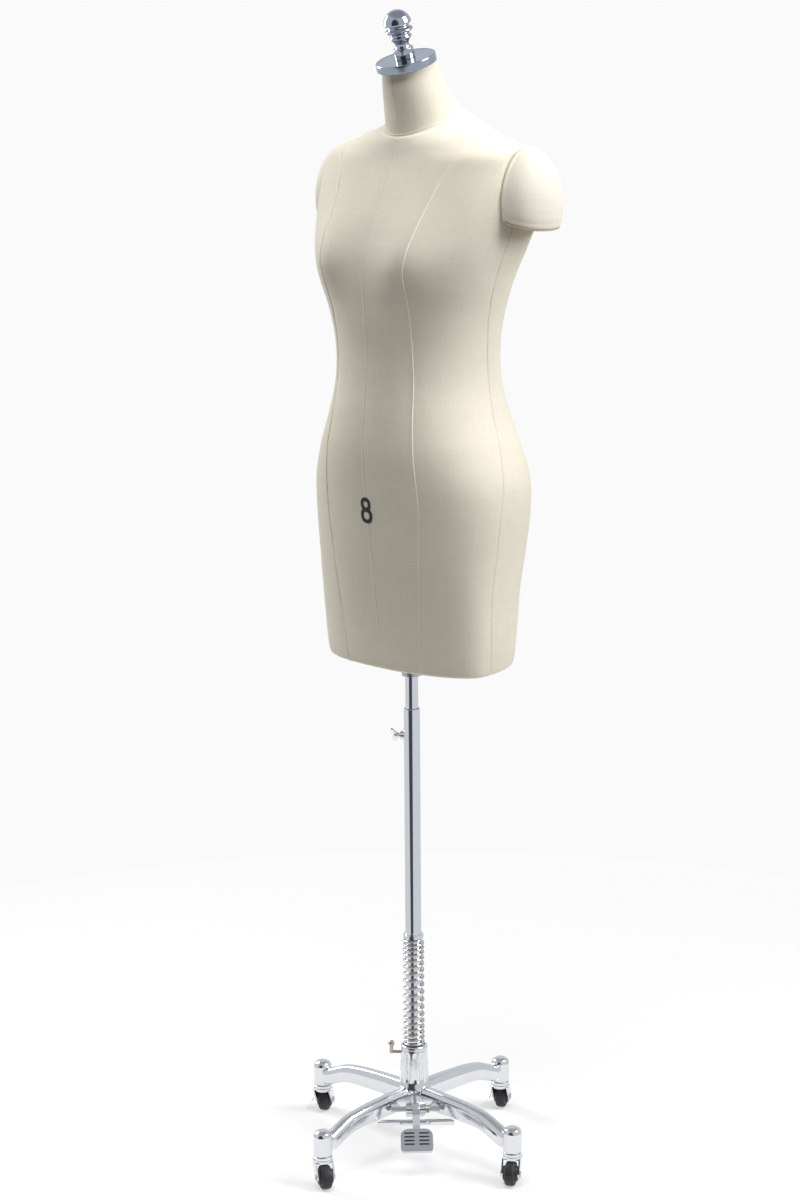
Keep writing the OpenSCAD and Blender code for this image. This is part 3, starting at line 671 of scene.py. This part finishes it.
def add_seams():
    """Raised welts over the sewn seams, and stitches down the side seams, in linen painted lighter
    than the cover as a painted highlight along the ridges.
    """
    # Painted highlight: the welts' linen is lighter than the cover's, as lit ridges look.
    welt_linen_painted_highlight = linen("linen_seam_painted_highlight", (0.88, 0.845, 0.74), (0.81, 0.77, 0.665), 0.6)
    low = 0.9
    welts = []
    for side, word in ((1, "left"), (-1, "right")):
        v = np.arange(low, V_SPLIT + 0.05, 0.08)
        welts.append((f"seam_front_{word}", seam_points(v, front_seam(v), side, -0.2), 1.0))
        welts.append((f"seam_back_{word}", seam_points(v, back_seam(v), side, -0.2), 1.0))
        v = np.arange(17.64, V_NECK - 0.02, 0.08)
        welts.append((f"seam_shoulder_{word}", seam_points(v, 90, side, -0.35), 0.8))
    v = np.arange(low, V_NECK, 0.08)
    welts.append(("seam_centre_front", seam_points(v, 0, 1, -0.45), 0.8))
    welts.append(("seam_centre_back", seam_points(v, 180, 1, -0.45), 0.8))
    v = np.arange(V_NECK + 0.05, V_TOP, 0.08)
    welts.append(("seam_neck_front", seam_points(v, 0, 1, -0.4), 0.7))
    welts.append(("seam_neck_back", seam_points(v, 180, 1, -0.4), 0.7))
    around_neck = np.arange(0, 360, 3.0)
    ring = seam_points(np.full(len(around_neck), V_NECK + 0.01), around_neck, 1, -0.4)
    welts.append(("seam_neck_base", ring, 0.55))
    for name, points, radius in welts:
        wobble = radius * (1 + 0.06 * wander(np.arange(len(points)) * 4.0, len(name)))
        if name == "seam_neck_base":
            points = np.concatenate([points, points[:1]])
            wobble = np.append(wobble, wobble[0])
        verts, faces = tube_along(points, wobble)
        made = new_object(name, verts * MM, faces, welt_linen_painted_highlight, cord_uv(len(points), 8))
        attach(made, "form")
    for side, word in ((1, "left"), (-1, "right")):
        add_stitches(f"stitches_side_{word}", side, welt_linen_painted_highlight)


def cord_uv(rows, sides):
    return np.array([(i * MM, j * 4 * MM) for j in range(rows) for i in range(sides)])


def add_stitches(name, side, material):
    """Short thread ends that show along the side seam."""
    v = np.arange(1.2, 14.2, 0.012)
    path = seam_points(v, side_seam(v), side, -0.35)
    run = np.concatenate([[0], np.cumsum(np.linalg.norm(np.diff(path, axis=0), axis=1))])
    parts = []
    for start in np.arange(4, run[-1] - 6, 7.0):
        s = np.linspace(start, start + 3.0, 5)
        piece = np.stack([np.interp(s, run, path[:, k]) for k in range(3)], 1)
        lift = np.array([0.0, 0.35, 0.45, 0.35, 0.0])
        at = np.interp(s, run, v)
        piece += mirrored(body_normal(at, side_seam(at)), side) * lift[:, None]
        parts.append(tube_along(piece, np.array([0.18, 0.3, 0.32, 0.3, 0.18]), 6))
    verts, faces = join_parts(parts)
    made = new_object(name, verts * MM, faces, material, np.zeros((len(verts), 2)))
    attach(made, "form")


def front_point(x, h, lift):
    """Point of the front, x mm from the middle and h mm above the hem, with its normal's lift."""
    levels = np.arange(0, 18, 0.02)
    heights = smooth_values(STATIONS, levels)[:, 4]
    v = np.interp(h, heights, levels)
    s = smooth_values(STATIONS, v)
    t = np.degrees(np.arcsin(power(x / s[..., 0], s[..., 7] / 2)))
    return body_point(v, t) + body_normal(v, t) * np.asarray(lift)[..., None]


def add_numeral():
    """The size, a plain figure of eight made of two rings, printed low on the front."""
    low, rings = 219.0, [((7.2, 7.6), 29.0), ((8.6, 8.8), 11.6)]
    stroke = 2.9
    parts = []
    for (rx, rz), middle in rings:
        loops = []
        for a in np.linspace(0, TAU, 49)[:-1]:
            c, s = power(math.cos(a), 0.86), power(math.sin(a), 0.86)
            band = [(rx + o) * c for o in (-stroke, -0.8, 0.8, stroke)]
            rise = [low + middle + (rz + o) * s for o in (-stroke, -0.8, 0.8, stroke)]
            # The print runs over the welt of the seam in the middle
            over = 0.16 + 0.4 * bell(np.array(band), 1.7)
            top = front_point(np.array(band), np.array(rise), over)
            under = front_point(np.array(band), np.array(rise), -0.5)
            loops.append(np.concatenate([top, under[::-1]]))
        loops.append(loops[0])
        parts.append(loft(loops, closed_ends=False))
    verts, faces = join_parts(parts)
    made = new_object("size_numeral", verts * MM, faces, ink(), smooth=False)
    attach(made, "form")


# ---- shoulder caps ------------------------------------------------------------------------

CAP_FLOOR = HEM_Z + 664
CAP_Y = 60.0
CAP_SLOPE = math.tan(math.radians(17))
CAP = [[0, 53, 40], [16, 55, 43], [32, 55, 44], [50, 52, 43], [68, 45, 38.5],
       [84, 35, 31], [96, 23, 21], [103, 10, 10]]


def cap_ring(v, grow, angles):
    s = smooth_values(CAP, v)
    out = (s[2] + grow) * power(np.cos(angles), 0.9)
    x = ARMHOLE_X + 5.6 + out
    y = CAP_Y + (s[1] + grow) * np.sin(angles)
    z = CAP_FLOOR + 3 + s[0] - out * CAP_SLOPE * (1 - s[0] / 103)
    return np.stack([x, y, z], 1)


def add_caps():
    cloth = linen("linen_cap", (0.83, 0.79, 0.69), (0.73, 0.69, 0.595))
    # Painted highlight: the piping's linen is lighter than the cap's, as a lit raised cord looks.
    welt_linen_painted_highlight = linen("linen_cap_edge_painted_highlight", (0.88, 0.845, 0.74), (0.81, 0.77, 0.665), 0.6)
    edge = wood("board_edge", (0.62, 0.50, 0.36), (0.46, 0.35, 0.23), "y")
    for side, word in ((1, "left"), (-1, "right")):
        angles = np.radians(np.linspace(-90, 90, 61))
        rows = np.linspace(0, len(CAP) - 1, 56)
        loops = []
        for k, v in enumerate(rows):
            ring = cap_ring(v, 0.0, angles)
            # The padding rolls in towards the board below, over a stitched hem
            roll = 1.6 * math.exp(-k / 1.2) + 0.6 * math.exp(-(k - 4) ** 2 / 0.6)
            inward = ring - np.array([ARMHOLE_X + 20, CAP_Y, 0])
            inward[:, 2] = 0
            inward /= np.linalg.norm(inward, axis=1, keepdims=True)
            ring = ring - inward * roll
            ring[:, 2] += 0.25 * np.sin(angles * 5 + v) * min(1, v)
            # and wraps round the edge of the upright board
            ring[0, 1] -= 0.6
            ring[-1, 1] += 0.6
            wraps = [end * np.array([0, 1, 1]) + np.array([ARMHOLE_X + 0.8, 0, 0])
                     for end in (ring[0], ring[-1])]
            loops.append(np.concatenate([wraps[:1], ring, wraps[1:]]))
        verts, faces = loft(loops)
        across = [angles[0] - 0.1, *angles, angles[-1] + 0.1]
        uvs = np.array([(a * 45 * MM, v * 14 * MM) for v in rows for a in across])
        verts = mirrored(verts, side) * MM
        if side < 0:
            faces = [f[::-1] for f in faces]
        made = new_object(f"cap_cover_{word}", verts, faces, cloth, uvs)
        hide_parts(f"cap_{word}")
        finish_soft(made, f"shoulder_{word}")
        rim = np.concatenate([cap_ring(v, 0.2, np.array([a]))
                              for a, vs in ((-math.pi / 2, rows), (math.pi / 2, rows[::-1]))
                              for v in vs])
        verts, faces = tube_along(mirrored(rim + np.array([0.2, 0, 0]), side), 1.1)
        made = new_object(f"cap_piping_{word}", verts * MM, faces, welt_linen_painted_highlight, cord_uv(len(rim), 8))
        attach(made, f"shoulder_{word}")
        dress(edge, f"cap_board_{word}")


# ---- turned metal and wheels ----------------------------------------------------------------


def eased(profile, rounds=2):
    """A profile that ends where it starts, with its corners cut so that edges are soft."""
    points = np.array(profile, float)
    for _ in range(rounds):
        a, b = points[:-1], points[1:]
        cut = np.stack([0.85 * a + 0.15 * b, 0.15 * a + 0.85 * b], 1).reshape(-1, 2)
        points = np.concatenate([points[:1], cut, points[-1:]])
    return points[:-1]


def turned(name, profile, place, material, body, node):
    verts, faces = revolve(eased(profile), 96)
    made = new_object(name, verts * MM, faces, material)
    made.data.transform(place)
    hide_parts(node)
    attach(made, body)
    return made


def add_neck_metal():
    """The tilted cap on the neck and the finial of stacked rings under a dome."""
    rim, thick = 45.0, 12.0
    place = (Matrix.Translation((0, -1 * MM, (HEM_Z + 888) * MM))
             @ Matrix.Rotation(math.radians(18), 4, "X"))
    # Painted dark reflection: the neck cap's chrome is darker and bluer than the polished chrome.
    turned("neck_cap_cover", [(4.1, 0.05), (rim - 0.5, 0.05), (rim, 0.5), (rim, thick - 1),
                              (rim - 1, thick), (rim - 3, thick), (rim - 3.4, thick - 0.5),
                              (4.1, thick - 0.5), (4.1, 0.05)],
           place, chrome("chrome_cap", (0.40, 0.45, 0.53), 0.14, 0.22), "form", "neck_cap")
    z = thick - 0.5
    shape = [(4.1, z), (14.5, z), (15, z + 0.5), (15, z + 15), (14.5, z + 15.6), (11.6, z + 15.8),
             (10.4, z + 19), (10.6, z + 23), (13, z + 27), (16.6, z + 30.5), (17, z + 32),
             (14.4, z + 34.5), (14.2, z + 36.5), (19.6, z + 40), (20.8, z + 42),
             (20.2, z + 43.6), (15.6, z + 46.4), (15.4, z + 48.4), (19.8, z + 51),
             (20.8, z + 53.4), (20, z + 57.5), (17.6, z + 62.5), (13.4, z + 67.5),
             (7.6, z + 71), (0.2, z + 72.4), (0.2, z + 11), (4.1, z + 11), (4.1, z)]
    # Painted dark reflection: the finial's chrome is darker and bluer than the polished chrome.
    turned("finial_knob", shape, place, chrome("chrome_finial", (0.47, 0.50, 0.56), 0.05, 0.14),
           "knob", "finial")


def add_pedal_groove_shade():
    """Painted shade: dark strips laid in the grooves of the foot pad, on both sides of its middle
    rib.
    """
    place = (Matrix.Rotation(PEDAL_TURN, 4, "Z") @ Matrix.Translation((0.092, 0, 0.066))
             @ Matrix.Rotation(math.radians(42), 4, "Y"))
    strips = []
    for side in (-1, 1):
        for k in range(4):
            ends = np.array([[9.3 + 6.2 * k, side * y, 5.6] for y in (3.6, 5.0, 11.5, 18.0, 19.4)])
            strips.append(tube_along(ends, np.array([0.5, 1.1, 1.15, 1.1, 0.5]), 10))
    verts, faces = join_parts(strips)
    # These dark rubber strips are painted shade and dark reflection in the pad's grooves.
    made = new_object("pedal_groove_shade", verts * MM, faces, rubber())
    made.data.transform(place)
    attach(made, "pedal")


def add_wheels():
    tread = rubber()
    r, w, hub = 19.0, 8.0, 11.2
    half = [(3.1, hub), (10.4, hub), (11.6, hub - 1), (12, w - 0.6), (r - 5, w - 0.6), (r - 4, w),
            (r - 2, w - 0.6), (r, w - 3)]
    profile = [(x, -y) for x, y in half] + half[::-1] + [(3.1, -hub)]
    # Direction of each leg, and the direction in which its caster trails
    trails = {"front": (-90, -30), "left": (0, -60), "back": (90, 120), "right": (180, 120)}
    for place, (turn, trail) in trails.items():
        at = (Matrix.Rotation(math.radians(turn), 4, "Z") @ Matrix.Translation((LEG_R * MM, 0, 0))
              @ Matrix.Rotation(math.radians(trail - turn), 4, "Z")
              @ Matrix.Translation((0.012, 0, r * MM)) @ Matrix.Rotation(-math.pi / 2, 4, "X"))
        turned(f"wheel_tread_{place}", profile, at, tread, f"roller_{place}",
               f"wheel_{place}")


# ---- base casting ---------------------------------------------------------------------------

LEG_R = 206.0
CUP_Z, CUP_R = 50.0, 14.5
LEG = [[22, 89, 11, 15.5], [50, 89, 10.5, 15.2], [85, 88, 10, 14.8], [120, 86.5, 9.8, 13.8],
       [148, 83, 9.8, 12.8], [170, 75, 10, 12.2], [188, 68, 10.5, 12], [202, 66, 9.5, 12]]


def leg_parts(turn):
    v = np.linspace(0, len(LEG) - 1, 60)
    s = smooth_values(LEG, v)
    slope = np.gradient(s[:, 1]) / np.gradient(s[:, 0])
    t = TAU * np.arange(32) / 32
    loops = []
    for (r, z, half, high), m in zip(s, slope):
        a = math.atan(m)
        up = (high + 1.2) * power(np.sin(t), 0.6)
        across = (half + 0.8) * (1 - 0.14 * np.sin(t)) * power(np.cos(t), 0.6)
        loops.append(np.stack([r - up * math.sin(a), across, z + up * math.cos(a)], 1))
    cup = revolve([(5.2, CUP_Z), (CUP_R - 1, CUP_Z), (CUP_R, CUP_Z + 1), (CUP_R, CUP_Z + 32),
                   (CUP_R - 2, CUP_Z + 37), (CUP_R - 7, CUP_Z + 40), (0.3, CUP_Z + 40.6),
                   (0.3, CUP_Z + 29), (5.2, CUP_Z + 29)], 48)
    cup = (cup[0] + np.array([LEG_R, 0, 0]), cup[1])
    c, n = math.cos(turn), math.sin(turn)
    spin = np.array([[c, -n, 0], [n, c, 0], [0, 0, 1]])
    return [(v @ spin.T, f) for v, f in (loft(loops), cup)]


PEDAL_TURN = math.radians(-45)


def pedal_box(outline, low, high):
    """A box between two heights, from (distance from the pole, place across) corners."""
    c, n = math.cos(PEDAL_TURN), math.sin(PEDAL_TURN)
    flat = [(p * c - q * n, p * n + q * c) for p, q in outline]
    verts = np.array([(x, y, z) for z in (low, high) for x, y in flat], float)
    return verts, [(3, 2, 1, 0), (4, 5, 6, 7), (0, 1, 5, 4), (1, 2, 6, 5), (2, 3, 7, 6),
                   (3, 0, 4, 7)]


def fluted(verts):
    """Flutes pressed into the hub's column."""
    flutes, deepest, foot, head, blend = 12, 1.6, 112, 162, 6
    radius = np.hypot(verts[:, 0], verts[:, 1])
    angle = np.arctan2(verts[:, 1], verts[:, 0])
    tall = (np.clip((verts[:, 2] - foot) / blend, 0, 1)
            * np.clip((head - verts[:, 2]) / blend, 0, 1))
    wave = np.clip(np.cos(flutes * (angle - math.radians(15))), 0, 1)
    verts[:, :2] *= (1 - deepest * tall * (radius > 20) * wave / radius)[:, None]
    return verts


def add_base():
    """Hub, legs, cups and cross bar fused into one plated casting with soft inner corners."""
    cast = chrome("chrome_casting", (0.76, 0.775, 0.80), 0.05, 0.2, 0.12)
    tube, hub_r, top, seat = 12.8, 21.0, 172.0, 17.4
    hub = [(tube, 72), (24, 72), (26, 76), (26, 104), (hub_r + 2, 112)]
    hub += [(hub_r + 2 - (z - 112) / 28, z) for z in np.arange(114, 164, 2)]
    hub += [(hub_r, 166), (hub_r, top - 1.5), (hub_r - 1.5, top), (seat, top),
            (seat, top - 6), (tube, top - 6)]
    verts, faces = revolve(hub, 144)
    parts = [(fluted(verts), faces)]
    for k in range(4):
        parts += leg_parts(k * math.pi / 2)
    # Cross bar between the front leg and the left leg, and ears for the lock plate's hinge
    parts.append(pedal_box([(70, -54), (77, -61), (77, 61), (70, 54)], 66, 74))
    for q in (-12, 9):
        parts.append(pedal_box([(-24, q), (-16, q), (-16, q + 3), (-24, q + 3)], 57, 76))
    verts, faces = join_parts(parts)
    made = new_object("base_casting", verts * MM, faces, cast)
    made.modifiers.new("fuse", "REMESH").voxel_size = (0.001)
    soften = made.modifiers.new("soften", "SMOOTH")
    soften.factor, soften.iterations = 0.5, 7
    apply_modifiers(made)
    made.data.materials.clear()
    made.data.materials.append(cast)
    made.data.shade_smooth()
    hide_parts("hub", "leg_front", "leg_left", "leg_back", "leg_right", "cross_bar")
    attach(made, "base")


# ---- spring ---------------------------------------------------------------------------------


def add_spring():
    low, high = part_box("height_spring")[0][2] / MM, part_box("height_spring")[1][2] / MM
    wire, radius, turns = 1.9, 15.0, 18
    f = np.linspace(0, 1, int(turns * 40))
    a = TAU * turns * f
    rise = high - low - 2 * wire
    z = low + wire + rise * (f - 0.045 * np.sin(TAU * f))
    path = np.stack([radius * np.cos(a), radius * np.sin(a), z], 1)
    verts, faces = tube_along(path, wire, 14)
    steel = chrome("spring_wire", (0.62, 0.59, 0.57), 0.12, 0.28)
    made = new_object("lift_spring", verts * MM, faces, steel)
    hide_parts("height_spring")
    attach(made, "base")
    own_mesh(made)


# ---- materials of the carried-over CAD nodes ------------------------------------------------


def dress(material, *names):
    for name in names:
        slots = NODES[name].data.materials
        slots.clear()
        slots.append(material)


def dress_cad():
    polished = chrome("chrome_polished", (0.83, 0.84, 0.87))
    plated = chrome("chrome_caster", (0.76, 0.78, 0.81), 0.08, 0.26)
    cast = chrome("chrome_pedal", (0.76, 0.775, 0.80), 0.06, 0.22, 0.08)
    zinc = brushed("steel_zinc", (0.56, 0.57, 0.59), 0.25, 0.45, (1, 1, 0.2))
    dress(polished, "inner_tube", "outer_tube", "cross_pin", "wing_boss", "thrust_ring")
    dress(polished, "wing_screw")
    dress(cast, "pedal_arm", "pedal_pad", "pivot_bosses")
    dress(zinc, "pivot_shaft", "pedal_spring", "lock_plate", "flange_screws", "pole_flange")
    dress(zinc, "neck_stud", "cap_magnets_left", "cap_magnets_right")
    dress(chrome("nickel_handle", (0.55, 0.50, 0.45), 0.15, 0.35), "lock_handle")
    dress(moulded("nylon_black", (0.02, 0.02, 0.022)), "tube_bushing")
    ply = wood("board_ply", (0.62, 0.47, 0.30), (0.45, 0.31, 0.18), "x")
    dress(ply, "bottom_board", "armhole_boards", "neck_block")
    dress(moulded("shell_board", (0.42, 0.34, 0.24)), "torso_shell_front", "torso_shell_back")
    for place in ("front", "left", "back", "right"):
        dress(plated, f"fork_{place}")
        dress(zinc, f"axle_{place}")
    dress(plated, "brake_back", "brake_right")


add_camera()
add_studio()
add_floor()
dress_cad()
add_cover()
add_seams()
add_numeral()
add_caps()
add_base()
add_spring()
add_neck_metal()
add_wheels()
add_pedal_groove_shade()
